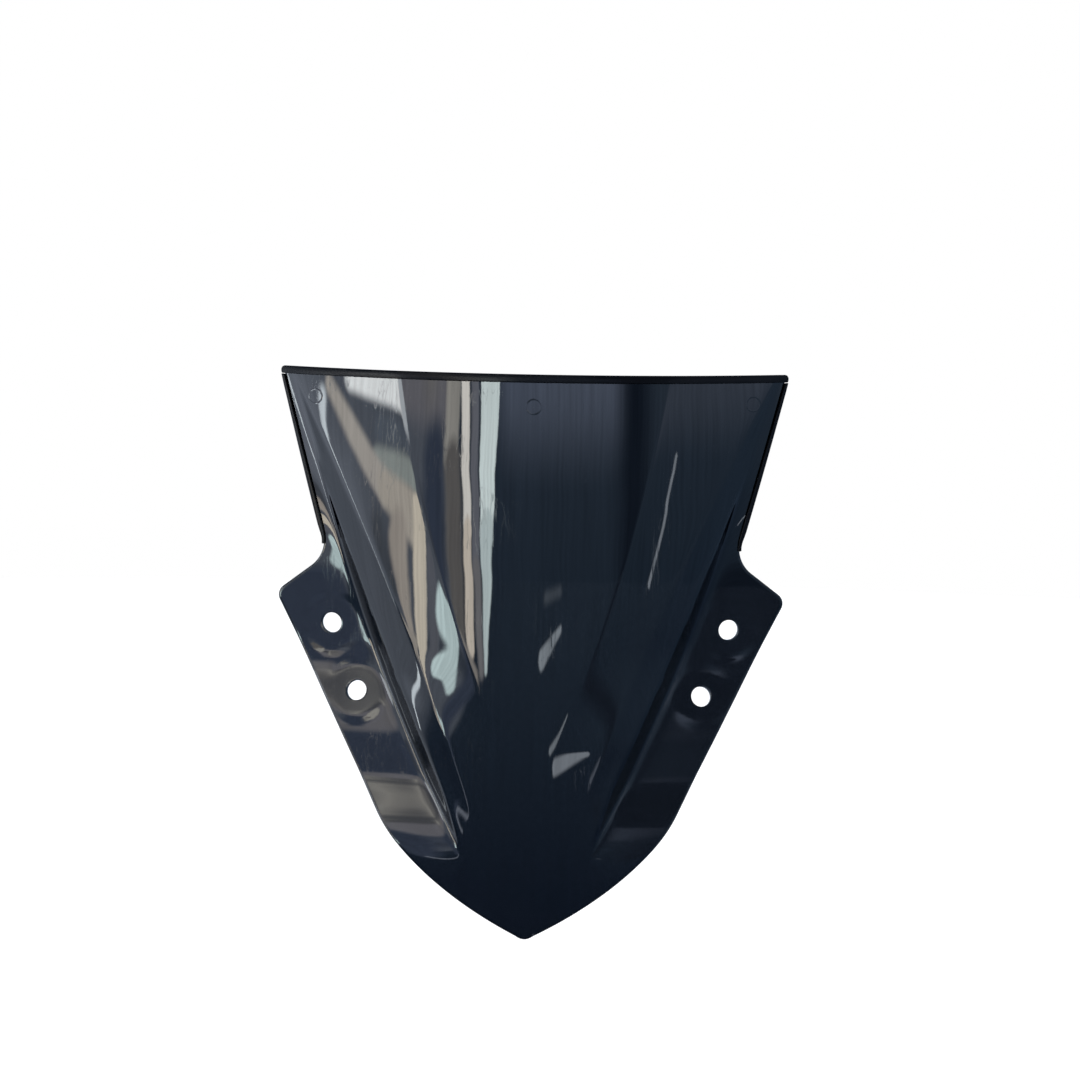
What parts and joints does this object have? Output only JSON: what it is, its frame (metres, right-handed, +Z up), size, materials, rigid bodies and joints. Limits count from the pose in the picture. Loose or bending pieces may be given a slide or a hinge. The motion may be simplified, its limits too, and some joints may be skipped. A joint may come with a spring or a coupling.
{
  "type": "motorcycle windshield screen",
  "caption": "Smoked moulded windscreen panel with stepped side wings, fixing holes and black push-on edge trim along its upper rim.",
  "frame": {"origin": "centre of the four fixing holes, on the level of their front seats", "axes": "+X to the right seen from the front, +Y back towards the rider, +Z up; the screen is symmetric about X = 0"},
  "size_m": [0.3218, 0.0806, 0.3526],
  "materials": {
    "smoked_polycarbonate": "dark blue-grey smoked transparent polycarbonate, polished both sides",
    "edge_trim": "black glossy push-on edge trim"
  },
  "bodies": {
    "root": {"screen_panel": "smoked_polycarbonate", "top_edge_trim": "edge_trim", "left_edge_trim": "edge_trim", "right_edge_trim": "edge_trim"}
  },
  "joints": []
}
